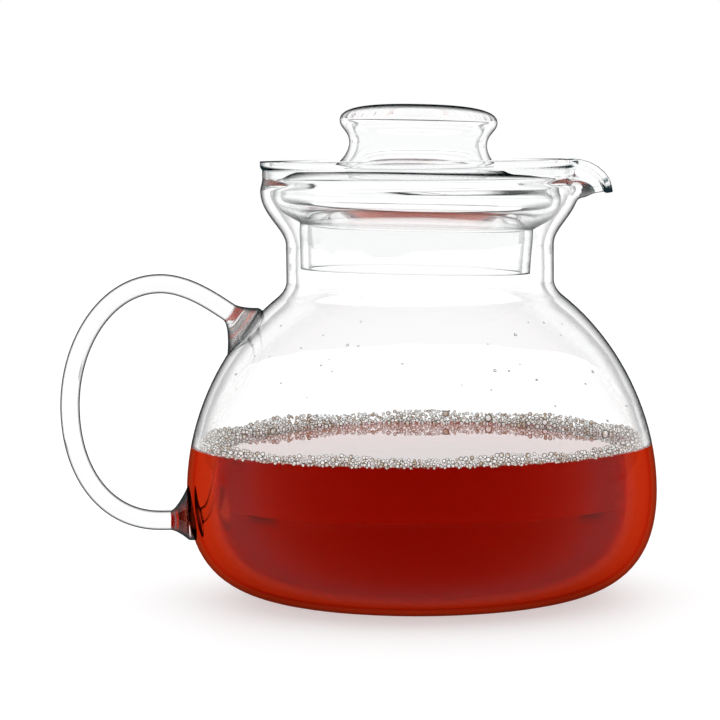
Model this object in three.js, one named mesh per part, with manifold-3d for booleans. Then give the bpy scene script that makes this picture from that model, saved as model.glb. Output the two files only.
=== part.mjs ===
// A glass teapot: a blown borosilicate jug with a pulled pouring lip, a bent glass rod fused to its
// side as the handle, a hollow blown lid that drops into the collar, and the tea and foam inside.
// Millimetres, +Z up. The origin is the centre of the flat underside, and +X points to the lip.

import * as THREE from "three";
import { mergeVertices } from "three/addons/utils/BufferGeometryUtils.js";
import Module from "manifold-3d";

const GAP = 0.3; // between pieces that touch on the real pot
const JUG_SEGMENTS = 60; // facets round the axis, for the jug and what it holds
const JUG_STEPS = 5; // facets along each curve of its profile
const LID_SEGMENTS = 48;
const LID_STEPS = 4;

// Jug
const BASE_RADIUS = 40;
const BELLY_RADIUS = 77.6;
const BELLY_HEIGHT = 35;
const SHOULDER_FOOT = new THREE.Vector2(47.2, 98.8); // where the shoulder turns up into the neck
const NECK_RADIUS = 44;
const NECK_BOTTOM = 104.5;
const NECK_TOP = 116;
const COLLAR_RADIUS = 52.3;
const COLLAR_BOTTOM = 134;
const RIM_HEIGHT = 143.7;
const RIM_BEAD = 1.5; // radius of the fire-polished rim
const DISH_TOP = 5.7; // heights at which the one blown wall is parted into rings
const BELLY_TOP = 64;
const BODY_WALL = 2.4;
const NECK_WALL = 3;

// Pouring lip: the collar wall folded outwards above a hinge line
const LIP_HINGE = 129.5;
const LIP_BEND = 4; // wall length that the fold is spread over
const LIP_FOLD = THREE.MathUtils.degToRad(80);
const LIP_HALF_ANGLE = THREE.MathUtils.degToRad(20);

// Handle
const ROD_HALF_THICKNESS = 3.2; // in the plane of the loop
const ROD_HALF_WIDTH = 4.75; // across it
const HANDLE_CROWN = new THREE.Vector3(-85.8, 0, 103.8);
const HANDLE_OUTERMOST = new THREE.Vector3(-116, 0, 63);
const HANDLE_HEEL = new THREE.Vector3(-86.5, 0, 25.3);
const UPPER_END = new THREE.Vector3(-63.1, 0, 94.2);
const UPPER_AIM = new THREE.Vector3(0.83, 0, -0.56).normalize(); // from the rod into the wall
const UPPER_FOOT_REACH = 7.4; // from the rod's end to the wall
const LOWER_END = new THREE.Vector3(-83.2, 0, HANDLE_HEEL.z);
const LOWER_AIM = new THREE.Vector3(1, 0, 0);
const LOWER_FOOT_REACH = 6.2;
const FOOT_INNER_LENGTH = 12.2; // from its middle along the wall, into the loop
const FOOT_OUTER_LENGTH = 6.6; // and away from it
const FOOT_HALF_WIDTH = 10.5;
const FOOT_DEPTH = 4; // how far the uncut foot runs on past the wall
const FOOT_FLARE = 1.5; // power of its spread: 1 is a cone, more keeps it slim until the wall

// Lid
const LID_WALL = 2.6;
const LID_TOP = 162;
const KNOB_RADIUS = 25.9;
const KNOB_HEIGHT = 156.4; // of its widest line
const WAIST_RADIUS = 22.6;
const WAIST_HEIGHT = 148.8;
const DECK_HEIGHT = 139.6;
const SEAT_RADIUS = 47.4; // widest line of the bulge that sits in the collar
const SEAT_HEIGHT = 131;
const SKIRT_RADIUS = 38.4;
const SKIRT_TOP = 122.8;
const SKIRT_BOTTOM = 107.5;
const LID_LEAN = THREE.MathUtils.degToRad(1.7); // it has play in the collar and leans to the lip
const LEAN_CENTRE = 160; // height on the axis that the seat's curve turns about

// Contents
const TEA_LEVEL = 50;
const FOAM_HEIGHT = 2;
const FOAM_WIDTH = 4;

const { Manifold, Mesh: SolidMesh } = await loadSolids();

async function loadSolids() {
  const wasm = await Module();
  wasm.setup();
  return wasm;
}

function solidOf(geometry) {
  const bare = geometry.clone();
  bare.deleteAttribute("normal");
  bare.deleteAttribute("uv");
  const merged = mergeVertices(bare, 1e-4);
  const vertProperties = new Float32Array(merged.attributes.position.array);
  const triVerts = new Uint32Array(merged.index.array);
  return new Manifold(new SolidMesh({ numProp: 3, vertProperties, triVerts }));
}

function geometryOf(solid) {
  const mesh = solid.getMesh();
  const geometry = new THREE.BufferGeometry();
  geometry.setAttribute("position", new THREE.BufferAttribute(mesh.vertProperties, 3));
  geometry.setIndex(new THREE.BufferAttribute(mesh.triVerts, 1));
  return geometry;
}

// Turns a profile of (radius, height) points about the Z axis.
function revolve(points, segments = JUG_SEGMENTS) {
  const geometry = new THREE.LatheGeometry(points, segments);
  return geometry.rotateX(Math.PI / 2);
}

// A profile moved towards the axis side of its own direction by depth(point).
function moveIn(points, depth) {
  return points.map((point, i) => {
    const before = points[Math.max(i - 1, 0)];
    const after = points[Math.min(i + 1, points.length - 1)];
    const along = after.clone().sub(before).normalize();
    const inward = new THREE.Vector2(-along.y, along.x);
    return point.clone().addScaledVector(inward, depth(point));
  });
}

// The part of a rising profile below a height, ending exactly at it.
function below(points, height) {
  const kept = points.filter((point) => point.y < height);
  const last = kept[kept.length - 1];
  const next = points[kept.length];
  const share = (height - last.y) / (next.y - last.y);
  return [...kept, last.clone().lerp(next, share)];
}

function wallAt(point) {
  return THREE.MathUtils.lerp(BODY_WALL, NECK_WALL, THREE.MathUtils.smoothstep(point.y, 80, 104));
}

function jugOutside() {
  const path = new THREE.Path();
  path.moveTo(BASE_RADIUS - 2, 0);
  path.lineTo(BASE_RADIUS, 0);
  path.bezierCurveTo(66, 0, BELLY_RADIUS, 12, BELLY_RADIUS, BELLY_HEIGHT);
  path.bezierCurveTo(BELLY_RADIUS, 60, 65, 84.5, SHOULDER_FOOT.x, SHOULDER_FOOT.y);
  path.quadraticCurveTo(NECK_RADIUS, 101.4, NECK_RADIUS, NECK_BOTTOM);
  path.lineTo(NECK_RADIUS, NECK_TOP);
  path.bezierCurveTo(NECK_RADIUS, 121.5, COLLAR_RADIUS, 126, COLLAR_RADIUS, COLLAR_BOTTOM);
  path.lineTo(COLLAR_RADIUS, RIM_HEIGHT - 2 * RIM_BEAD);
  return path.getPoints(JUG_STEPS);
}

function jugInside(clearance = 0) {
  return moveIn(jugOutside(), (point) => wallAt(point) + clearance);
}

function rimArc() {
  const middle = COLLAR_RADIUS - NECK_WALL / 2;
  const arc = new THREE.Path();
  arc.absarc(middle, RIM_HEIGHT - RIM_BEAD, RIM_BEAD, -0.3, Math.PI + 0.3, false);
  return arc.getPoints(3);
}

// Folds the collar outwards about its hinge line, all the way at the lip's middle and not at all
// at its sides, so that the wall keeps its thickness and its length.
function pullLip(geometry) {
  const position = geometry.attributes.position;
  const wallMiddle = COLLAR_RADIUS - NECK_WALL / 2;
  for (let i = 0; i < position.count; i += 1) {
    const turn = Math.atan2(position.getY(i), position.getX(i));
    const rise = position.getZ(i) - LIP_HINGE;
    if (rise <= 0 || Math.abs(turn) >= LIP_HALF_ANGLE) {
      continue;
    }
    const fold = LIP_FOLD * Math.cos((turn / LIP_HALF_ANGLE) * (Math.PI / 2)) ** 2;
    const bent = Math.min(rise, LIP_BEND);
    const straight = rise - bent;
    const lean = (fold * bent) / LIP_BEND;
    const bendRadius = LIP_BEND / fold;
    const outwards = bendRadius * (1 - Math.cos(lean)) + straight * Math.sin(lean);
    const upwards = bendRadius * Math.sin(lean) + straight * Math.cos(lean);
    const across = Math.hypot(position.getX(i), position.getY(i)) - wallMiddle;
    const radius = wallMiddle + outwards + across * Math.cos(lean);
    const height = LIP_HINGE + upwards - across * Math.sin(lean);
    position.setXYZ(i, radius * Math.cos(turn), radius * Math.sin(turn), height);
  }
  return geometry;
}

// Points of the outside and the inside between two heights of the outside. The top end stops a gap
// short, so that rings one above the other don't touch.
function wallBetween(bottom, top) {
  const outside = jugOutside();
  const inside = jugInside();
  const atOrAbove = (height) => outside.findIndex((point) => point.y > height - 1);
  const from = atOrAbove(bottom);
  const to = top === undefined ? outside.length - 1 : atOrAbove(top);
  const cut = (points) => {
    const kept = points.slice(from, to + 1);
    const last = kept[kept.length - 1];
    const before = kept[kept.length - 2];
    if (top !== undefined) {
      last.lerp(before, GAP / last.distanceTo(before));
    }
    return kept;
  };
  return { outside: cut(outside), inside: cut(inside).reverse() };
}

function jugBase() {
  const wall = wallBetween(0, DISH_TOP);
  const floor = new THREE.Vector2(0, BODY_WALL);
  const underside = new THREE.Vector2(0, 0);
  return revolve([underside, ...wall.outside, ...wall.inside, floor]);
}

function jugRing(bottom, top) {
  const wall = wallBetween(bottom, top);
  return revolve([...wall.outside, ...wall.inside, wall.outside[0].clone()]);
}

function jugCollar() {
  const wall = wallBetween(NECK_TOP);
  return pullLip(revolve([...wall.outside, ...rimArc(), ...wall.inside, wall.outside[0].clone()]));
}

function handleLine() {
  const line = new THREE.CurvePath();
  const beside = (point, x, z) => new THREE.Vector3(point.x + x, 0, point.z + z);
  const leave = UPPER_END.clone().addScaledVector(UPPER_AIM, -7);
  const parts = [
    [UPPER_END, leave, beside(HANDLE_CROWN, 8.8, 0), HANDLE_CROWN],
    [HANDLE_CROWN, beside(HANDLE_CROWN, -17.7, 0), beside(HANDLE_OUTERMOST, 0, 21), HANDLE_OUTERMOST],
    [HANDLE_OUTERMOST, beside(HANDLE_OUTERMOST, 0, -22), beside(HANDLE_HEEL, -18, 0), HANDLE_HEEL],
  ];
  parts.forEach((points) => line.add(new THREE.CubicBezierCurve3(...points)));
  line.add(new THREE.LineCurve3(HANDLE_HEEL, LOWER_END));
  return line;
}

function handleRod() {
  const section = new THREE.Shape();
  section.absellipse(0, 0, ROD_HALF_WIDTH, ROD_HALF_THICKNESS, 0, 2 * Math.PI);
  return new THREE.ExtrudeGeometry(section, { steps: 36, curveSegments: 6, extrudePath: handleLine() });
}

// The rod's end, spread into a flared foot and cut to the outside of the jug. The foot runs
// further along the wall on the loop's inside, which is above it (1) or below it (-1).
function handleFoot(end, aim, reach, loopSide) {
  const length = reach + FOOT_DEPTH;
  const geometry = new THREE.CylinderGeometry(1, 1, 1, 20, 6);
  geometry.translate(0, 0.5, 0);
  const position = geometry.attributes.position;
  for (let i = 0; i < position.count; i += 1) {
    const along = position.getY(i);
    const flare = Math.min((along * length) / reach, 1) ** FOOT_FLARE;
    const spread = position.getX(i) * loopSide > 0 ? FOOT_INNER_LENGTH : FOOT_OUTER_LENGTH;
    const halfLength = THREE.MathUtils.lerp(ROD_HALF_THICKNESS, spread, flare);
    const halfWidth = THREE.MathUtils.lerp(ROD_HALF_WIDTH, FOOT_HALF_WIDTH, flare);
    position.setXYZ(i, position.getX(i) * halfLength, along * length, position.getZ(i) * halfWidth);
  }
  const across = new THREE.Vector3(0, 1, 0);
  const upright = new THREE.Vector3().crossVectors(aim, across);
  const start = end.clone().addScaledVector(aim, GAP);
  const place = new THREE.Matrix4().makeBasis(upright, aim, across).setPosition(start);
  geometry.applyMatrix4(place);
  return geometryOf(solidOf(geometry).subtract(jugEnvelope()));
}

function jugEnvelope() {
  const grown = moveIn(jugOutside(), () => -GAP);
  const top = new THREE.Vector2(0, grown[grown.length - 1].y);
  const bottom = new THREE.Vector2(0, -GAP);
  return solidOf(revolve([bottom, ...grown, top]));
}

function lidOutside() {
  const path = new THREE.Path();
  path.moveTo(0, LID_TOP);
  path.bezierCurveTo(14, LID_TOP, KNOB_RADIUS, 161.2, KNOB_RADIUS, KNOB_HEIGHT);
  path.bezierCurveTo(KNOB_RADIUS, 153.4, WAIST_RADIUS, 152.8, WAIST_RADIUS, WAIST_HEIGHT);
  path.bezierCurveTo(22.8, 144.5, 27.5, DECK_HEIGHT, 33, DECK_HEIGHT);
  path.lineTo(37.5, DECK_HEIGHT - 0.2);
  path.bezierCurveTo(42.5, 138.6, SEAT_RADIUS, 135.6, SEAT_RADIUS, SEAT_HEIGHT);
  path.bezierCurveTo(SEAT_RADIUS + 0.2, 127, 44.4, 125.6, SKIRT_RADIUS, SKIRT_TOP);
  path.lineTo(SKIRT_RADIUS - 0.6, SKIRT_BOTTOM + LID_WALL / 2);
  return path.getPoints(LID_STEPS);
}

function lid() {
  const outside = lidOutside().reverse();
  const inside = moveIn(outside, () => LID_WALL).reverse();
  inside[0].x = 0;
  const edge = new THREE.Path();
  const middle = SKIRT_RADIUS - 0.6 - LID_WALL / 2;
  edge.absarc(middle, SKIRT_BOTTOM + LID_WALL / 2, LID_WALL / 2, Math.PI, 2 * Math.PI, false);
  const bottomEdge = edge.getPoints(3).slice(1, -1);
  const upright = revolve([...inside, ...bottomEdge, ...outside], LID_SEGMENTS);
  return upright.translate(0, 0, -LEAN_CENTRE).rotateY(LID_LEAN).translate(0, 0, LEAN_CENTRE);
}

function tea() {
  const side = below(jugInside(GAP), TEA_LEVEL);
  const floor = new THREE.Vector2(0, BODY_WALL + GAP);
  const surface = new THREE.Vector2(0, TEA_LEVEL);
  return revolve([floor, ...side, surface]);
}

// Bubbles that cling to the wall in a ring on the tea, taken together as one plain ring.
function foamRing() {
  const floor = TEA_LEVEL + GAP;
  const wall = jugInside(GAP);
  const foot = below(wall, floor).pop();
  const top = below(wall, floor + FOAM_HEIGHT).pop();
  const inner = foot.clone().setX(foot.x - FOAM_WIDTH);
  const crest = new THREE.Vector2(inner.x + 1, floor + FOAM_HEIGHT / 2);
  return revolve([inner, foot, top, crest, inner.clone()]);
}

const glass = () => new THREE.MeshStandardMaterial({ color: 0xeaf1f1, roughness: 0.03, metalness: 0 });
const brew = () => new THREE.MeshStandardMaterial({ color: 0x8c1004, roughness: 0.05, metalness: 0 });
const froth = () => new THREE.MeshStandardMaterial({ color: 0xd9c9b6, roughness: 0.3, metalness: 0 });

const group = new THREE.Group();
const add = (name, geometry, material) => {
  const mesh = new THREE.Mesh(geometry, material);
  mesh.name = name;
  group.add(mesh);
};

add("jug_base", jugBase(), glass());
add("jug_lower_bowl", jugRing(DISH_TOP, BELLY_HEIGHT), glass());
add("jug_belly", jugRing(BELLY_HEIGHT, BELLY_TOP), glass());
add("jug_shoulder", jugRing(BELLY_TOP, SHOULDER_FOOT.y), glass());
add("jug_neck", jugRing(SHOULDER_FOOT.y, NECK_TOP), glass());
add("jug_collar", jugCollar(), glass());
add("handle", handleRod(), glass());
add("handle_upper_foot", handleFoot(UPPER_END, UPPER_AIM, UPPER_FOOT_REACH, -1), glass());
add("handle_lower_foot", handleFoot(LOWER_END, LOWER_AIM, LOWER_FOOT_REACH, 1), glass());
add("lid", lid(), glass());
add("tea", tea(), brew());
add("foam_ring", foamRing(), froth());

export default group;
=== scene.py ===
import math
import random

import bmesh
import bpy
from mathutils import Matrix, Vector


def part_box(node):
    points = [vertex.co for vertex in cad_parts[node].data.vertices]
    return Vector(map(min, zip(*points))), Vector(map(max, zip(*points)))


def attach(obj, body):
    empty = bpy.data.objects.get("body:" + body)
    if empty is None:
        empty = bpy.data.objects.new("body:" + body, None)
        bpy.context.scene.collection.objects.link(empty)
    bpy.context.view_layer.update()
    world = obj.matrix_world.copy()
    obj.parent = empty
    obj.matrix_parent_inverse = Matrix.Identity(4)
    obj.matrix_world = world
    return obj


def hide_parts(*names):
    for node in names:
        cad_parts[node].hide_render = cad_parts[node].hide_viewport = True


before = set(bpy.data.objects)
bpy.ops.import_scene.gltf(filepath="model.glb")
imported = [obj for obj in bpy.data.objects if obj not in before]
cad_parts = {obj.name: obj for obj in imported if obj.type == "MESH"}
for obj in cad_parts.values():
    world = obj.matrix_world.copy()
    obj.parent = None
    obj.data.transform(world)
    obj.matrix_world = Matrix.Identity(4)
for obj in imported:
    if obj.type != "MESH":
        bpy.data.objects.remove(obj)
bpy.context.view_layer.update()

# ---------------------------------------------------------------------------------------------
# The studio. A sheet of milky acrylic, lit from below as well as from above, runs back under a
# wide white sky. Eight low grey flags stand round its far edge, each between two of the main
# directions of view, so that the upright walls of clear glass find something darker to bend.

SHEET_WIDTH = 6.0
SHEET_GAP = 0.0002
SHEET_GREY = (0.56, 0.56, 0.56, 1)
SHEET_GLOW = 0.54
SKY = 1.0
FLAG_INSIDE = 20.0
FLAG_OUTSIDE = 24.2
FLAG_EDGE = 0.8
FLAG_HALF_SPACING = math.pi / 8
FLAG_HEIGHTS = ((0.3, 0.5), (1.3, 0.0))
RIGHT_ANGLE = math.pi / 2

bpy.ops.object.select_all(action="DESELECT")
bpy.ops.mesh.primitive_plane_add(size=SHEET_WIDTH, location=(0, 0, -SHEET_GAP))
acrylic_sheet = bpy.context.object
acrylic_sheet.name = "acrylic_sheet"
bpy.ops.object.transform_apply(location=True, rotation=True, scale=True)
acrylic = bpy.data.materials.new("milky_acrylic")
acrylic.use_nodes = True
acrylic_surface = acrylic.node_tree.nodes["Principled BSDF"]
acrylic_surface.inputs["Base Color"].default_value = SHEET_GREY
acrylic_surface.inputs["Roughness"].default_value = 0.6
acrylic_surface.inputs["Specular IOR Level"].default_value = 0.2
acrylic_surface.inputs["Emission Color"].default_value = (1, 1, 1, 1)
acrylic_surface.inputs["Emission Strength"].default_value = SHEET_GLOW
acrylic_sheet.data.materials.append(acrylic)

world = bpy.data.worlds.new("bright_field")
bpy.context.scene.world = world
world.use_nodes = True
sky = world.node_tree
sky.nodes.clear()


def sky_math(operation, *values):
    node = sky.nodes.new("ShaderNodeMath")
    node.operation = operation
    for socket, value in zip(node.inputs, values):
        if isinstance(value, (int, float)):
            socket.default_value = value
        else:
            sky.links.new(value, socket)
    return node.outputs[0]


direction = sky.nodes.new("ShaderNodeTexCoord")
along = sky.nodes.new("ShaderNodeSeparateXYZ")
sky.links.new(direction.outputs["Generated"], along.inputs[0])
east, north, up = along.outputs
sideways = sky_math("PINGPONG", sky_math("ARCTAN2", east, north), FLAG_HALF_SPACING)
upwards = sky_math("ARCSINE", up)
spread = sky_math("ADD", sky_math("MULTIPLY", sideways, sideways), sky_math("MULTIPLY", upwards, upwards))
turned = sky_math("DIVIDE", sky_math("SQRT", spread), RIGHT_ANGLE)


def sky_ramp(angle, stops):
    """Greys over an angle that is a share of a right angle; the stops are (degrees, grey)."""
    ramp = sky.nodes.new("ShaderNodeValToRGB")
    ramp.color_ramp.interpolation = "EASE"
    while len(ramp.color_ramp.elements) < len(stops):
        ramp.color_ramp.elements.new(0.5)
    for element, (degrees, value) in zip(ramp.color_ramp.elements, stops):
        element.position = degrees / 90
        element.color = (value, value, value, 1)
    sky.links.new(angle, ramp.inputs[0])
    return ramp.outputs[0]


flag_edges = (
    (0.0, 0),
    (FLAG_INSIDE - FLAG_EDGE, 0),
    (FLAG_INSIDE, 1),
    (FLAG_OUTSIDE, 1),
    (FLAG_OUTSIDE + FLAG_EDGE, 0),
)
flags = sky_ramp(turned, flag_edges)
depth = sky_ramp(sky_math("DIVIDE", upwards, RIGHT_ANGLE), FLAG_HEIGHTS)
shade = sky_math("MULTIPLY", flags, depth)
light = sky_math("MULTIPLY", sky_math("SUBTRACT", 1.0, shade), SKY)
glow = sky.nodes.new("ShaderNodeBackground")
glow.inputs["Color"].default_value = (1, 1, 1, 1)
sky.links.new(light, glow.inputs["Strength"])
sky_out = sky.nodes.new("ShaderNodeOutputWorld")
sky.links.new(glow.outputs[0], sky_out.inputs[0])

LENS = 142.0
LENS_PLACE = (-0.020, -0.935, 0.149)
LENS_TARGET = (-0.020, 0.0, 0.078)
LENS_ROLL = math.radians(-0.5)
LIGHT_BOUNCES = 48

lens_data = bpy.data.cameras.new("eye_level_camera")
camera = bpy.data.objects.new("eye_level_camera", lens_data)
bpy.context.scene.collection.objects.link(camera)
lens_data.lens = LENS
camera.location = LENS_PLACE
aim = (Vector(LENS_TARGET) - Vector(LENS_PLACE)).to_track_quat("-Z", "Y").to_matrix()
camera.rotation_euler = (aim @ Matrix.Rotation(LENS_ROLL, 3, "Z")).to_euler()
bpy.context.scene.camera = camera

scene = bpy.context.scene
scene.view_settings.view_transform = "Standard"
scene.cycles.use_denoising = True
scene.cycles.max_bounces = LIGHT_BOUNCES
scene.cycles.transmission_bounces = LIGHT_BOUNCES
scene.cycles.glossy_bounces = LIGHT_BOUNCES
scene.cycles.transparent_max_bounces = LIGHT_BOUNCES

# ---------------------------------------------------------------------------------------------
# The jug: one gather of borosilicate glass, blown squat with a flat base, necked in on the lathe
# and flared into a collar. The collar's wall is drawn thinner under its rim, which is melted to a
# bead, and the lip is pulled outwards from the soft collar.

BASE_RADIUS = 0.040
BELLY_HEIGHT = 0.035
NECK_RADIUS = 0.044
NECK_BOTTOM = 0.1045
NECK_TOP = 0.116
COLLAR_RADIUS = 0.0523
COLLAR_BOTTOM = 0.134
RIM_BEAD = 0.0015
BODY_WALL = 0.0024
NECK_WALL = 0.003
COLLAR_TAPER = 0.004
COLLAR_THINNING = 0.52
LIP_HINGE = 0.1295
LIP_BEND = 0.004
LIP_FOLD = math.radians(80)
LIP_HALF_ANGLE = math.radians(20)
SHOULDER_FOOT = (0.0472, 0.0988)
WALL_THICKENS = (0.080, 0.104)
TURNS = 160
PROFILE_STEPS = 22
RIM_STEPS = 8
ROUNDING = 1e-5

JUG_RINGS = ("jug_base", "jug_lower_bowl", "jug_belly", "jug_shoulder", "jug_neck", "jug_collar")
belly_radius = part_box("jug_belly")[1].y
rim_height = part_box("jug_collar")[1].z


def deselect():
    if bpy.context.object and bpy.context.object.mode != "OBJECT":
        bpy.ops.object.mode_set(mode="OBJECT")
    bpy.ops.object.select_all(action="DESELECT")


def draw_curve(name, knots, steps):
    """A Bezier curve whose knots are (handle before, point, handle after)."""
    deselect()
    bpy.ops.curve.primitive_bezier_curve_add(location=(0, 0, 0))
    curve = bpy.context.object
    curve.name = name
    curve.data.resolution_u = steps
    spline = curve.data.splines[0]
    spline.bezier_points.add(len(knots) - 2)
    for knot, (before, point, after) in zip(spline.bezier_points, knots):
        knot.handle_left_type = knot.handle_right_type = "FREE"
        knot.co = point
        knot.handle_left = before
        knot.handle_right = after
    return curve


def draw_profile(name, knots):
    """A half section in the XZ plane as a chain of edges, its knots given in (radius, height)."""
    upright = [[(radius, 0, height) for radius, height in knot] for knot in knots]
    draw_curve(name, upright, PROFILE_STEPS)
    bpy.ops.object.convert(target="MESH")
    return bpy.context.object


def spin_profile(piece):
    """Turns the selected profile once round the Z axis and closes its seam and poles."""
    bpy.ops.object.mode_set(mode="EDIT")
    bpy.ops.mesh.select_all(action="SELECT")
    bpy.ops.mesh.spin(steps=TURNS, angle=2 * math.pi, center=(0, 0, 0), axis=(0, 0, 1))
    bpy.ops.mesh.select_all(action="SELECT")
    bpy.ops.mesh.remove_doubles(threshold=ROUNDING / 10)
    bpy.ops.mesh.normals_make_consistent(inside=False)
    bpy.ops.object.mode_set(mode="OBJECT")
    return piece


def corner(point):
    return (point, point, point)


def jug_knots():
    return [
        corner((0.0, 0.0)),
        ((BASE_RADIUS * 0.9, 0.0), (BASE_RADIUS, 0.0), (0.066, 0.0)),
        ((belly_radius, 0.012), (belly_radius, BELLY_HEIGHT), (belly_radius, 0.060)),
        ((0.065, 0.0845), SHOULDER_FOOT, (0.04507, 0.10053)),
        ((NECK_RADIUS, 0.10243), (NECK_RADIUS, NECK_BOTTOM), (NECK_RADIUS, 0.108)),
        ((NECK_RADIUS, 0.112), (NECK_RADIUS, NECK_TOP), (NECK_RADIUS, 0.1215)),
        ((COLLAR_RADIUS, 0.126), (COLLAR_RADIUS, COLLAR_BOTTOM), (COLLAR_RADIUS, 0.137)),
        ((COLLAR_RADIUS, 0.140), (COLLAR_RADIUS, rim_height), (COLLAR_RADIUS, rim_height)),
    ]


def thicken(piece, thin, thick, low, high):
    """Gives an outer skin its wall: thin below the height low, thick above high."""
    group = piece.vertex_groups.new(name="wall")
    for vertex in piece.data.vertices:
        share = min(max((vertex.co.z - low) / (high - low), 0.0), 1.0)
        share = share * share * (3 - 2 * share)
        group.add([vertex.index], (thin + (thick - thin) * share) / thick, "REPLACE")
    wall = piece.modifiers.new("wall", "SOLIDIFY")
    wall.thickness = thick
    wall.offset = -1
    wall.vertex_group = "wall"
    wall.use_even_offset = True
    bpy.ops.object.modifier_apply(modifier="wall")
    piece.vertex_groups.clear()


def round_rim(piece, height, bead):
    """Melts the flat edge at a height to a half-round bead."""
    bpy.ops.object.mode_set(mode="EDIT")
    mesh = bmesh.from_edit_mesh(piece.data)
    for face in mesh.faces:
        face.select_set(False)
    for edge in mesh.edges:
        flat = all(abs(v.co.z - height) < ROUNDING for v in edge.verts)
        radii = [math.hypot(v.co.x, v.co.y) for v in edge.verts]
        edge.select_set(flat and abs(radii[0] - radii[1]) < ROUNDING)
    bmesh.update_edit_mesh(piece.data)
    nearly = bead * 0.98
    bpy.ops.mesh.bevel(offset=nearly, offset_type="OFFSET", segments=RIM_STEPS, profile=0.5, affect="EDGES")
    bpy.ops.object.mode_set(mode="OBJECT")


def thin_under_bead(piece, height, bead):
    """Draws the collar's wall thinner under its bead, which then stands out on both sides."""
    wall_middle = COLLAR_RADIUS - NECK_WALL / 2
    for vertex in piece.data.vertices:
        under = height - bead - vertex.co.z
        if under <= 0 or vertex.co.z <= COLLAR_BOTTOM:
            continue
        radius = math.hypot(vertex.co.x, vertex.co.y)
        rise = min((vertex.co.z - COLLAR_BOTTOM) / COLLAR_TAPER, 1.0)
        thinned = 1 + (COLLAR_THINNING - 1) * rise * rise * (3 - 2 * rise)
        round_part = math.sqrt(max(1 - (under / bead) ** 2, 0.0))
        share = (wall_middle + (radius - wall_middle) * max(thinned, round_part)) / radius
        vertex.co.x *= share
        vertex.co.y *= share


def pull_lip(piece):
    """Folds the soft collar outwards about its hinge line, most at the lip's middle."""
    wall_middle = COLLAR_RADIUS - NECK_WALL / 2
    for vertex in piece.data.vertices:
        turn = math.atan2(vertex.co.y, vertex.co.x)
        rise = vertex.co.z - LIP_HINGE
        if rise <= 0 or abs(turn) >= LIP_HALF_ANGLE:
            continue
        fold = max(LIP_FOLD * math.cos(turn / LIP_HALF_ANGLE * math.pi / 2) ** 2, 1e-6)
        bent = min(rise, LIP_BEND)
        straight = rise - bent
        lean = fold * bent / LIP_BEND
        bend_radius = LIP_BEND / fold
        outwards = bend_radius * (1 - math.cos(lean)) + straight * math.sin(lean)
        upwards = bend_radius * math.sin(lean) + straight * math.cos(lean)
        across = math.hypot(vertex.co.x, vertex.co.y) - wall_middle
        radius = wall_middle + outwards + across * math.cos(lean)
        vertex.co.z = LIP_HINGE + upwards - across * math.sin(lean)
        vertex.co.x = radius * math.cos(turn)
        vertex.co.y = radius * math.sin(turn)


jug = draw_profile("jug_glass", jug_knots())
spin_profile(jug)
thicken(jug, BODY_WALL, NECK_WALL, *WALL_THICKENS)
round_rim(jug, rim_height, RIM_BEAD)
beaded = {face.index for face in jug.data.polygons if face.center.z > rim_height - 2 * RIM_BEAD}
thin_under_bead(jug, rim_height, RIM_BEAD)
pull_lip(jug)
bpy.ops.object.shade_smooth()

GLASS_IOR = 1.47
BLOOM = 0.05
CLEAR = (0.985, 0.988, 0.988, 1)
# Painted shade: dark colours painted on glass where it is only grazed, standing in for the dark room that
# real edges would bend into view.
EDGE_PAINTED_SHADE = (0.03, 0.06, 0.07, 1)
RIM_PAINTED_SHADE = (0.10, 0.15, 0.165, 1)
ROD_PAINTED_SHADE = (0.16, 0.18, 0.185, 1)
WALL_SLANT = (0.70, 0.94)
RIM_SLANT = (0.70, 0.95)
RIM_LIFT = 0.5
LID_SLANT = (0.69, 0.96)
LID_LIFT = 0.05
ROD_SLANT = (0.40, 0.76)
STRIA_SCALE = 70.0
STRIA_DEPTH = 0.00009


def transparent_finish(name, ior):
    """A clear dielectric. Bloom dims its mirror image square on and leaves it alone at a glance."""
    material = bpy.data.materials.new(name)
    material.use_nodes = True
    surface = material.node_tree.nodes["Principled BSDF"]
    surface.inputs["Base Color"].default_value = CLEAR
    surface.inputs["Roughness"].default_value = 0.0
    surface.inputs["IOR"].default_value = ior
    surface.inputs["Transmission Weight"].default_value = 1.0
    surface.inputs["Specular Tint"].default_value = (BLOOM, BLOOM, BLOOM, 1)
    return material


def slant_of(material, begins, ends, lift=0.0):
    """From 0 where the surface is met square on to 1 where it is only grazed, sooner by the lift
    where it lies flat."""
    nodes = material.node_tree.nodes
    links = material.node_tree.links
    slant = nodes.new("ShaderNodeLayerWeight")
    slant.inputs["Blend"].default_value = 0.5
    place = nodes.new("ShaderNodeTexCoord")
    facing = nodes.new("ShaderNodeSeparateXYZ")
    flatness = nodes.new("ShaderNodeMath")
    flatness.operation = "ABSOLUTE"
    lifted = nodes.new("ShaderNodeMath")
    lifted.operation = "MULTIPLY_ADD"
    lifted.inputs[1].default_value = lift
    ramp = nodes.new("ShaderNodeMapRange")
    ramp.interpolation_type = "SMOOTHSTEP"
    ramp.inputs["From Min"].default_value = begins
    ramp.inputs["From Max"].default_value = ends
    links.new(place.outputs["Normal"], facing.inputs[0])
    links.new(facing.outputs["Z"], flatness.inputs[0])
    links.new(flatness.outputs[0], lifted.inputs[0])
    links.new(slant.outputs["Facing"], lifted.inputs[2])
    links.new(lifted.outputs[0], ramp.inputs["Value"])
    return ramp.outputs["Result"]


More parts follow.
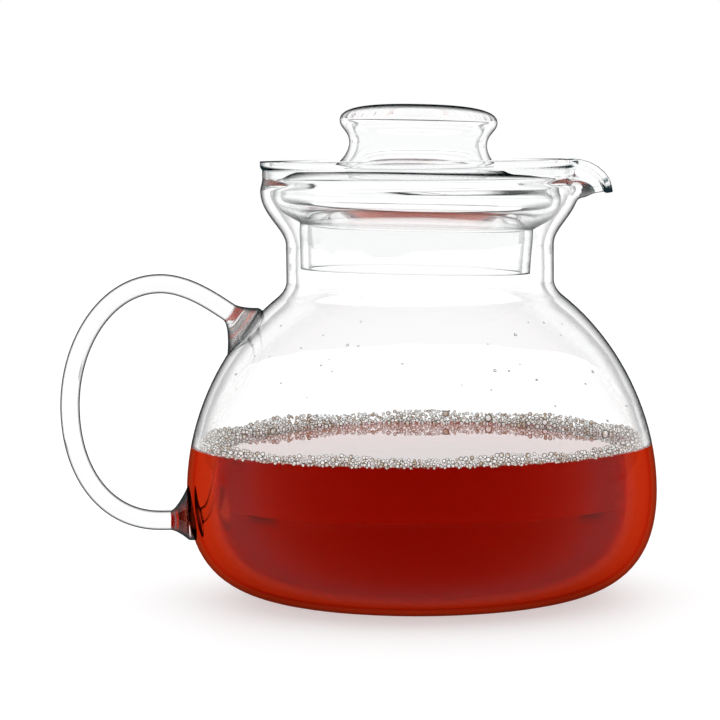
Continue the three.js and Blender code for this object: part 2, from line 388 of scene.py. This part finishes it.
def darken_edges(material, painted_edge_colour, begins, ends, lift=0.0):
    """Paints shade on the glass where it is only grazed. It stands in for the dark sides of the room,
    which real glass bends into a dark line along each edge."""
    nodes = material.node_tree.nodes
    links = material.node_tree.links
    painted_edge_shade = nodes.new("ShaderNodeBsdfTransparent")
    painted_edge_shade.inputs["Color"].default_value = painted_edge_colour
    share = nodes.new("ShaderNodeMixShader")
    links.new(slant_of(material, begins, ends, lift), share.inputs[0])
    links.new(nodes["Principled BSDF"].outputs[0], share.inputs[1])
    links.new(painted_edge_shade.outputs[0], share.inputs[2])
    links.new(share.outputs[0], nodes["Material Output"].inputs["Surface"])


def add_striae(material, scale, height):
    """The faint waves that blowing and drawing leave in a glass surface, longest round the piece."""
    nodes = material.node_tree.nodes
    links = material.node_tree.links
    place = nodes.new("ShaderNodeTexCoord")
    stretch = nodes.new("ShaderNodeMapping")
    stretch.inputs["Scale"].default_value = (0.5, 0.5, 1.6)
    waves = nodes.new("ShaderNodeTexNoise")
    waves.inputs["Scale"].default_value = scale
    waves.inputs["Detail"].default_value = 1.0
    relief = nodes.new("ShaderNodeBump")
    relief.inputs["Strength"].default_value = 1.0
    relief.inputs["Distance"].default_value = height
    links.new(place.outputs["Object"], stretch.inputs["Vector"])
    links.new(stretch.outputs[0], waves.inputs["Vector"])
    links.new(waves.outputs[0], relief.inputs["Height"])
    links.new(relief.outputs[0], nodes["Principled BSDF"].inputs["Normal"])


def glass_finish(name, painted_edge_colour, *slant):
    material = transparent_finish(name, GLASS_IOR)
    darken_edges(material, painted_edge_colour, *slant)
    add_striae(material, STRIA_SCALE, STRIA_DEPTH)
    return material


# The jug's glass and its melted rim get painted shade along their grazed edges.
clear_glass = glass_finish("blown_glass", EDGE_PAINTED_SHADE, *WALL_SLANT)
rim_glass = glass_finish("melted_rim_glass", RIM_PAINTED_SHADE, *RIM_SLANT, RIM_LIFT)
jug.data.materials.append(clear_glass)
jug.data.materials.append(rim_glass)
for face in jug.data.polygons:
    face.material_index = int(face.index in beaded)
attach(jug, "pot")
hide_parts(*JUG_RINGS)

# ---------------------------------------------------------------------------------------------
# The lid: blown hollow in one, with a wide flat knob, a drawn-in waist, a deck, a bulge that seats
# in the collar and a skirt that hangs down the neck, cut and melted round at its open bottom.

LID_WALL = 0.0026
LID_LEAN = math.radians(1.7)
LEAN_CENTRE = 0.160
LID_BOTTOM = 0.1075
MELTED_BELOW = 0.1105

lid_knots = [
    ((0.0, 0.162), (0.0, 0.162), (0.014, 0.162)),
    ((0.0259, 0.1612), (0.0259, 0.1564), (0.0259, 0.1534)),
    ((0.0226, 0.1528), (0.0226, 0.1488), (0.0228, 0.1445)),
    ((0.0275, 0.1396), (0.033, 0.1396), (0.0345, 0.1396)),
    ((0.036, 0.13945), (0.0375, 0.1394), (0.0425, 0.1386)),
    ((0.0474, 0.1356), (0.0474, 0.131), (0.0476, 0.127)),
    ((0.0444, 0.1256), (0.0384, 0.1228), (0.0384, 0.118)),
    ((0.0378, 0.112), (0.0378, LID_BOTTOM), (0.0378, LID_BOTTOM)),
]
lid = draw_profile("lid_glass", lid_knots)
spin_profile(lid)
thicken(lid, LID_WALL, LID_WALL, 0.0, 0.1)
round_rim(lid, LID_BOTTOM, LID_WALL / 2)
to_centre = Matrix.Translation((0, 0, -LEAN_CENTRE))
lid.data.transform(to_centre.inverted() @ Matrix.Rotation(LID_LEAN, 4, "Y") @ to_centre)
bpy.ops.object.shade_smooth()
# The lid's glass gets painted shade along its grazed edges.
lid.data.materials.append(glass_finish("blown_lid_glass", EDGE_PAINTED_SHADE, *LID_SLANT, LID_LIFT))
lid.data.materials.append(rim_glass)
for face in lid.data.polygons:
    face.material_index = int(face.center.z < MELTED_BELOW)
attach(lid, "lid")
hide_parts("lid")

# ---------------------------------------------------------------------------------------------
# The handle: one rod of the same glass, pressed a little oval, bent to a loop in the flame, and
# fused to the shoulder and to the lower wall, where its soft ends spread into two feet.

ROD_HALF_THICKNESS = 0.0032
ROD_HALF_WIDTH = 0.00475
FOOT_INNER_LENGTH = 0.0122
FOOT_OUTER_LENGTH = 0.0066
FOOT_HALF_WIDTH = 0.0105
FOOT_FLARE = 1.5
FOOT_DEPTH = 0.004
FUSED_DEPTH = 0.0002
ROD_STEPS = 26
ROD_ROUNDNESS = 14
UPPER_END = Vector((-0.0631, 0, 0.0942))
UPPER_AIM = Vector((0.83, 0, -0.56)).normalized()
UPPER_FOOT_REACH = 0.0074
LOWER_END = Vector((-0.0832, 0, 0.0253))
LOWER_AIM = Vector((1, 0, 0))
LOWER_FOOT_REACH = 0.0062
CROWN = Vector((-0.0858, 0, 0.1038))
OUTERMOST = Vector((-0.116, 0, 0.063))
HEEL = Vector((-0.0865, 0, 0.0253))

upper_root = UPPER_END + UPPER_AIM * (UPPER_FOOT_REACH + FOOT_DEPTH)
lower_root = LOWER_END + LOWER_AIM * (LOWER_FOOT_REACH + FOOT_DEPTH)
handle_knots = [
    (upper_root, upper_root, upper_root.lerp(UPPER_END, 0.3)),
    (UPPER_END + UPPER_AIM * 0.002, UPPER_END, UPPER_END - UPPER_AIM * 0.007),
    (Vector((-0.077, 0, CROWN.z)), CROWN, Vector((-0.1035, 0, CROWN.z))),
    (Vector((OUTERMOST.x, 0, 0.084)), OUTERMOST, Vector((OUTERMOST.x, 0, 0.041))),
    (Vector((-0.1045, 0, HEEL.z)), HEEL, Vector((-0.0854, 0, HEEL.z))),
    (LOWER_END - LOWER_AIM * 0.001, LOWER_END, LOWER_END + LOWER_AIM * 0.002),
    (lower_root.lerp(LOWER_END, 0.3), lower_root, lower_root),
]
handle = draw_curve("handle_glass", handle_knots, ROD_STEPS)
handle.data.bevel_depth = ROD_HALF_THICKNESS
handle.data.bevel_resolution = ROD_ROUNDNESS
handle.data.use_fill_caps = True
bpy.ops.object.convert(target="MESH")
handle = bpy.context.object


def spread_foot(piece, end, aim, reach, loop_side):
    """Flares the rod from its end to the wall, furthest on the side of the loop's inside."""
    slope = aim.cross(Vector((0, 1, 0)))
    for vertex in piece.data.vertices:
        offset = vertex.co - end
        gone = offset.dot(aim)
        if gone <= 0 or offset.length > 2 * (reach + FOOT_DEPTH):
            continue
        share = min(gone / reach, 1.0) ** FOOT_FLARE
        spread = FOOT_INNER_LENGTH if offset.dot(slope) * loop_side > 0 else FOOT_OUTER_LENGTH
        along = 1 + (spread / ROD_HALF_THICKNESS - 1) * share
        across = 1 + (FOOT_HALF_WIDTH / ROD_HALF_WIDTH - 1) * share
        vertex.co = end + aim * gone + slope * offset.dot(slope) * along
        vertex.co.y = offset.y * across


for vertex in handle.data.vertices:
    vertex.co.y *= ROD_HALF_WIDTH / ROD_HALF_THICKNESS
spread_foot(handle, UPPER_END, UPPER_AIM, UPPER_FOOT_REACH, -1)
spread_foot(handle, LOWER_END, LOWER_AIM, LOWER_FOOT_REACH, 1)

mould = draw_profile("mould", jug_knots()[:5] + [corner((0.0, NECK_BOTTOM))])
spin_profile(mould)
bpy.ops.object.mode_set(mode="EDIT")
bpy.ops.mesh.select_all(action="SELECT")
bpy.ops.transform.shrink_fatten(value=-FUSED_DEPTH)
bpy.ops.object.mode_set(mode="OBJECT")
deselect()
bpy.context.view_layer.objects.active = handle
handle.select_set(True)
trim = handle.modifiers.new("trim", "BOOLEAN")
trim.operation = "DIFFERENCE"
trim.solver = "EXACT"
trim.object = mould
bpy.ops.object.modifier_apply(modifier="trim")
bpy.data.objects.remove(mould)
bpy.ops.object.shade_smooth_by_angle(angle=math.radians(40))
handle.data.materials.clear()
# The rod gets painted shade along its grazed edges.
handle.data.materials.append(glass_finish("drawn_glass", ROD_PAINTED_SHADE, *ROD_SLANT))
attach(handle, "pot")
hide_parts("handle", "handle_upper_foot", "handle_lower_foot")

# ---------------------------------------------------------------------------------------------
# The tea: a dark red brew to about half the jug's height. It wets the wall, so its surface climbs
# a little at the edge, and its body reaches into the wall to leave no air between the two.

TEA_LEVEL = 0.050
MENISCUS_RISE = 0.0009
MENISCUS_STEPS = 8
MENISCUS_STEP = 0.0005
MENISCUS_REACH = 0.0009
WETTED_DEPTH = 0.0016

tea = draw_profile("tea_liquid", jug_knots())
bpy.ops.object.mode_set(mode="EDIT")
bpy.ops.mesh.select_all(action="SELECT")
bpy.ops.mesh.bisect(plane_co=(0, 0, TEA_LEVEL + MENISCUS_RISE), plane_no=(0, 0, 1), clear_outer=True)
bpy.ops.object.mode_set(mode="OBJECT")
spin_profile(tea)
bpy.ops.object.mode_set(mode="EDIT")
bpy.ops.mesh.select_all(action="SELECT")
bpy.ops.transform.shrink_fatten(value=-WETTED_DEPTH)
bpy.ops.mesh.select_all(action="DESELECT")
bpy.ops.mesh.select_non_manifold()
bpy.ops.object.mode_set(mode="OBJECT")
edge = [vertex.co for vertex in tea.data.vertices if vertex.select]
brim_radius = math.hypot(edge[0].x, edge[0].y)
brim_height = edge[0].z
bpy.ops.object.mode_set(mode="EDIT")
wall_radius = brim_radius - (BODY_WALL - WETTED_DEPTH)
steps = [(wall_radius, brim_height)]
for step in range(1, MENISCUS_STEPS + 1):
    out = step * MENISCUS_STEP
    steps.append((wall_radius - out, TEA_LEVEL + MENISCUS_RISE * math.exp(-out / MENISCUS_REACH)))
radius, height = brim_radius, brim_height
for next_radius, next_height in steps:
    share = next_radius / radius
    bpy.ops.mesh.extrude_region_move(TRANSFORM_OT_translate={"value": (0, 0, next_height - height)})
    bpy.ops.transform.resize(value=(share, share, 1), center_override=(0, 0, 0))
    radius, height = next_radius, next_height
bpy.ops.mesh.extrude_region_move()
bpy.ops.mesh.merge(type="CENTER")
bpy.ops.mesh.select_all(action="SELECT")
bpy.ops.mesh.normals_make_consistent(inside=False)
bpy.ops.object.mode_set(mode="OBJECT")
bpy.ops.object.shade_smooth_by_angle(angle=math.radians(60))

TEA_IOR = 1.333
BREW_COLOUR = (0.915, 0.33, 0.06, 1)
BREW_DENSITY = 66.0
SURFACE_SHEEN = 0.7


def brew(name, ior):
    material = transparent_finish(name, ior)
    absorb = material.node_tree.nodes.new("ShaderNodeVolumeAbsorption")
    absorb.inputs["Color"].default_value = BREW_COLOUR
    absorb.inputs["Density"].default_value = BREW_DENSITY
    output = material.node_tree.nodes["Material Output"]
    material.node_tree.links.new(absorb.outputs[0], output.inputs["Volume"])
    return material


# Its sides lie inside the wall, where they bend nothing; the wetted wall and the surface do.
tea.data.materials.append(brew("black_tea", 1.0))
tea_surface = brew("black_tea_surface", TEA_IOR)
tea_surface.node_tree.nodes["Principled BSDF"].inputs["Coat Weight"].default_value = SURFACE_SHEEN
tea_surface.node_tree.nodes["Principled BSDF"].inputs["Coat Roughness"].default_value = 0.0
tea.data.materials.append(tea_surface)
for face in tea.data.polygons:
    face.material_index = int(face.center.z > TEA_LEVEL - MENISCUS_RISE and face.normal.z > 0.3)

# Fine dust of leaves hangs in the brew and clouds it: a copy of its body that only scatters.
HAZE_COLOUR = (1.0, 0.06, 0.01, 1)
HAZE_DENSITY = 5.0
HAZE_FORWARD = 0.4
HAZE_INSET = 0.0012
haze = tea.copy()
haze.data = tea.data.copy()
haze.name = "tea_haze"
bpy.context.scene.collection.objects.link(haze)
deselect()
bpy.context.view_layer.objects.active = haze
haze.select_set(True)
bpy.ops.object.mode_set(mode="EDIT")
bpy.ops.mesh.select_all(action="SELECT")
bpy.ops.transform.shrink_fatten(value=-HAZE_INSET)
bpy.ops.object.mode_set(mode="OBJECT")
leaf_dust = transparent_finish("leaf_dust", 1.0)
scattering = leaf_dust.node_tree.nodes.new("ShaderNodeVolumeScatter")
scattering.inputs["Color"].default_value = HAZE_COLOUR
scattering.inputs["Density"].default_value = HAZE_DENSITY
scattering.inputs["Anisotropy"].default_value = HAZE_FORWARD
leaf_dust.node_tree.links.new(
    scattering.outputs[0], leaf_dust.node_tree.nodes["Material Output"].inputs["Volume"]
)
haze.data.materials.clear()
haze.data.materials.append(leaf_dust)
for face in haze.data.polygons:
    face.material_index = 0
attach(haze, "pot")

# At a slant the wall over the tea is painted red, a painted glow. It stands in for the glow of the
# brew, which the wall's white mirror image would hide. Where the wall is only grazed it is painted a
# darker red, a painted shade.
BACKLIT_PAINTED_GLOW = (0.68, 0.17, 0.08, 1)
BACKLIT_PAINTED_EDGE_SHADE = (0.45, 0.13, 0.07, 1)
BACKLIT_SLANT = (0.25, 0.62)
backlit_glass = glass_finish("backlit_glass", BACKLIT_PAINTED_GLOW, *BACKLIT_SLANT)
backlit_nodes = backlit_glass.node_tree.nodes
backlit_links = backlit_glass.node_tree.links
# Painted glow that turns to painted shade where the wall is only grazed.
painted_brew_glow = backlit_nodes.new("ShaderNodeMix")
painted_brew_glow.data_type = "RGBA"
painted_brew_glow.inputs["A"].default_value = BACKLIT_PAINTED_GLOW
painted_brew_glow.inputs["B"].default_value = BACKLIT_PAINTED_EDGE_SHADE
backlit_links.new(slant_of(backlit_glass, *WALL_SLANT), painted_brew_glow.inputs["Factor"])
backlit_links.new(painted_brew_glow.outputs["Result"], backlit_nodes["Transparent BSDF"].inputs["Color"])

jug.data.materials.append(transparent_finish("wetted_glass", GLASS_IOR / TEA_IOR))
jug.data.materials.append(backlit_glass)
deselect()
bpy.context.view_layer.objects.active = jug
jug.select_set(True)
bpy.ops.object.mode_set(mode="EDIT")
bpy.ops.mesh.select_all(action="SELECT")
bpy.ops.mesh.bisect(plane_co=(0, 0, brim_height), plane_no=(0, 0, 1))
bpy.ops.object.mode_set(mode="OBJECT")
for face in jug.data.polygons:
    outwards = Vector((face.center.x, face.center.y, face.center.z - BELLY_HEIGHT))
    if face.center.z < brim_height:
        face.material_index = 2 if face.normal.dot(outwards) < 0 else 3
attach(tea, "pot")
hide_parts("tea")

# ---------------------------------------------------------------------------------------------
# The foam: bubbles left by pouring, which cling to the wall all round and stand deeper at the
# handle's side and at the back. Most are about a millimetre across and a few are three. Their
# films look white in the middle and dark where they turn away, and some are stained by the tea.

FOAM_TRIES = 15000
FOAM_LIMIT = 2450
FOAM_SEED = 7
FOAM_HEIGHT = 0.0030
HIGHER_BEHIND = 0.35
RIPPLES = 9
RIPPLE_HEIGHT = 0.15
FOAM_WIDTH = 0.0026
WIDER_AT_HANDLE = 3.0
WIDER_BEHIND = 0.4
LEAST_WIDTH = 0.0002
TO_THE_WALL = 1.3
BUBBLE_RADII = (0.0004, 0.0005, 0.0006, 0.0007, 0.0008)
LARGE_RADII = (0.0010, 0.0015)
LARGE_SHARE = 0.01
LARGE_SHARE_BEHIND = 0.02
CLOSEST = 0.9
SECTOR = 3
FLOAT = 0.0001
WALL_SLOPE = 0.19


def scatter(name, pattern, places):
    """One mesh that holds a copy of the pattern at each place."""
    points = [vertex.co.copy() for vertex in pattern.data.vertices]
    faces = [tuple(face.vertices) for face in pattern.data.polygons]
    all_points = []
    all_faces = []
    for place in places:
        start = len(all_points)
        all_points.extend(place @ point for point in points)
        all_faces.extend(tuple(start + index for index in face) for face in faces)
    mesh = bpy.data.meshes.new(name)
    mesh.from_pydata(all_points, [], all_faces)
    piece = bpy.data.objects.new(name, mesh)
    bpy.context.scene.collection.objects.link(piece)
    bpy.data.objects.remove(pattern)
    deselect()
    bpy.context.view_layer.objects.active = piece
    piece.select_set(True)
    bpy.ops.object.shade_smooth()
    return piece


def inner_wall(height):
    """Radius of the jug's inside at a height near the tea's surface."""
    return wall_radius - (height - brim_height) * WALL_SLOPE


def is_clear(centre, size, neighbours):
    """Whether a bubble presses no more into its neighbours than bubbles in a foam do."""
    return all((centre - other).length > CLOSEST * (size + wide) for other, wide in neighbours)


draw = random.Random(FOAM_SEED)
bubbles = []
around = {}
for attempt in range(FOAM_TRIES):
    turn = draw.uniform(-math.pi, math.pi)
    far_side = max(math.sin(turn), 0.0)
    handle_side = max(-math.cos(turn), 0.0) ** 8
    size = draw.choice(BUBBLE_RADII)
    if draw.random() < LARGE_SHARE + LARGE_SHARE_BEHIND * far_side:
        size = draw.uniform(*LARGE_RADII)
    height_limit = FOAM_HEIGHT * (1 + HIGHER_BEHIND * far_side + RIPPLE_HEIGHT * math.sin(RIPPLES * turn))
    above = draw.uniform(0, 1) * height_limit
    widest = FOAM_WIDTH * (1 + WIDER_AT_HANDLE * handle_side + WIDER_BEHIND * far_side)
    width_limit = widest * (1 - above / height_limit) + LEAST_WIDTH
    inwards = draw.uniform(0, 1) ** TO_THE_WALL * width_limit
    height = TEA_LEVEL + FLOAT + above
    radius = inner_wall(height) - size - inwards
    centre = Vector((radius * math.cos(turn), radius * math.sin(turn), height))
    sector = int(math.degrees(turn) / SECTOR)
    near = around.setdefault(sector, []) + around.get(sector - 1, []) + around.get(sector + 1, [])
    if len(bubbles) < FOAM_LIMIT and is_clear(centre, size, near):
        around[sector].append((centre, size))
        bubbles.append(Matrix.Translation(centre) @ Matrix.Scale(size, 4))
deselect()
bpy.ops.mesh.primitive_ico_sphere_add(subdivisions=2, radius=1, location=(0, 0, 0))
foam = scatter("foam_bubbles", bpy.context.object, bubbles)

# The films give off a little light, a painted glow which stands in for what a foam scatters from
# film to film. Their rims are painted dark where they turn away, a painted shade.
FILM_IOR = 1.12
FILM_OPEN = 0.0
FILM_ROUGHNESS = 0.08
FILM_PAINTED_GLOW = 0.42
FILM_STAIN_SCALE = 500.0
FILM_STAIN_EDGES = (0.36, 0.52)
FILM_SLANT = (0.10, 0.50)
FILM_WHITE = (1.0, 0.99, 0.97, 1)
FILM_TAN = (0.55, 0.42, 0.30, 1)
FILM_PAINTED_RIM_SHADE = (0.03, 0.02, 0.015, 1)

foam_film = transparent_finish("foam_film", FILM_IOR)
film_nodes = foam_film.node_tree.nodes
film_links = foam_film.node_tree.links
film_surface = film_nodes["Principled BSDF"]
film_surface.inputs["Transmission Weight"].default_value = FILM_OPEN
film_surface.inputs["Roughness"].default_value = FILM_ROUGHNESS
film_surface.inputs["Emission Strength"].default_value = FILM_PAINTED_GLOW
film_place = film_nodes.new("ShaderNodeTexCoord")
film_stain = film_nodes.new("ShaderNodeTexNoise")
film_stain.inputs["Scale"].default_value = FILM_STAIN_SCALE
film_tone = film_nodes.new("ShaderNodeValToRGB")
for stop, position, colour in zip(film_tone.color_ramp.elements, FILM_STAIN_EDGES, (FILM_TAN, FILM_WHITE)):
    stop.position = position
    stop.color = colour
# Painted shade: the films are darkened towards their rims, where they turn away.
film_shade = film_nodes.new("ShaderNodeMix")
film_shade.data_type = "RGBA"
film_shade.inputs["B"].default_value = FILM_PAINTED_RIM_SHADE
film_links.new(film_place.outputs["Object"], film_stain.inputs["Vector"])
film_links.new(film_stain.outputs[0], film_tone.inputs[0])
film_links.new(film_tone.outputs[0], film_shade.inputs["A"])
film_links.new(slant_of(foam_film, *FILM_SLANT), film_shade.inputs["Factor"])
film_links.new(film_shade.outputs["Result"], film_surface.inputs["Base Color"])
# The same colour is also given off as the painted glow.
film_links.new(film_shade.outputs["Result"], film_surface.inputs["Emission Color"])
foam.data.materials.append(foam_film)
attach(foam, "pot")
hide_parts("foam_ring")

# ---------------------------------------------------------------------------------------------
# The splashes: small drops of tea that pouring threw up, left on the inside of the shoulder. Each
# is a flat cap that clings to the glass.

SPLASH_COUNT = 46
SPLASH_SEED = 11
SPLASH_RADII = (0.00025, 0.00055)
SPLASH_HEIGHTS = (0.060, 0.092)
SPLASH_FLATNESS = 0.35
SPLASH_STAND = 0.4
SPLASH_TILT = 0.9
SPLASH_SLANT = (0.2, 0.6)

shoulder = [
    vertex.co.copy() for vertex in jug.data.vertices
    if SPLASH_HEIGHTS[0] < vertex.co.z < SPLASH_HEIGHTS[1] and vertex.normal.dot(vertex.co) < 0
]
draw = random.Random(SPLASH_SEED)
splashes = []
for spot in draw.sample(shoulder, SPLASH_COUNT):
    size = draw.uniform(*SPLASH_RADII)
    level = Vector((spot.x, spot.y, 0)).normalized()
    against_wall = Vector((level.x, level.y, SPLASH_TILT)).to_track_quat("Z", "Y").to_matrix().to_4x4()
    flat = Matrix.Diagonal((size, size, SPLASH_FLATNESS * size, 1))
    splashes.append(Matrix.Translation(spot - level * SPLASH_STAND * size) @ against_wall @ flat)
deselect()
bpy.ops.mesh.primitive_ico_sphere_add(subdivisions=2, radius=1, location=(0, 0, 0))
drops = scatter("tea_splashes", bpy.context.object, splashes)
splash_finish = transparent_finish("splashed_tea", TEA_IOR)
# The drops' grazed edges get painted shade.
darken_edges(splash_finish, EDGE_PAINTED_SHADE, *SPLASH_SLANT)
drops.data.materials.append(splash_finish)
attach(drops, "pot")
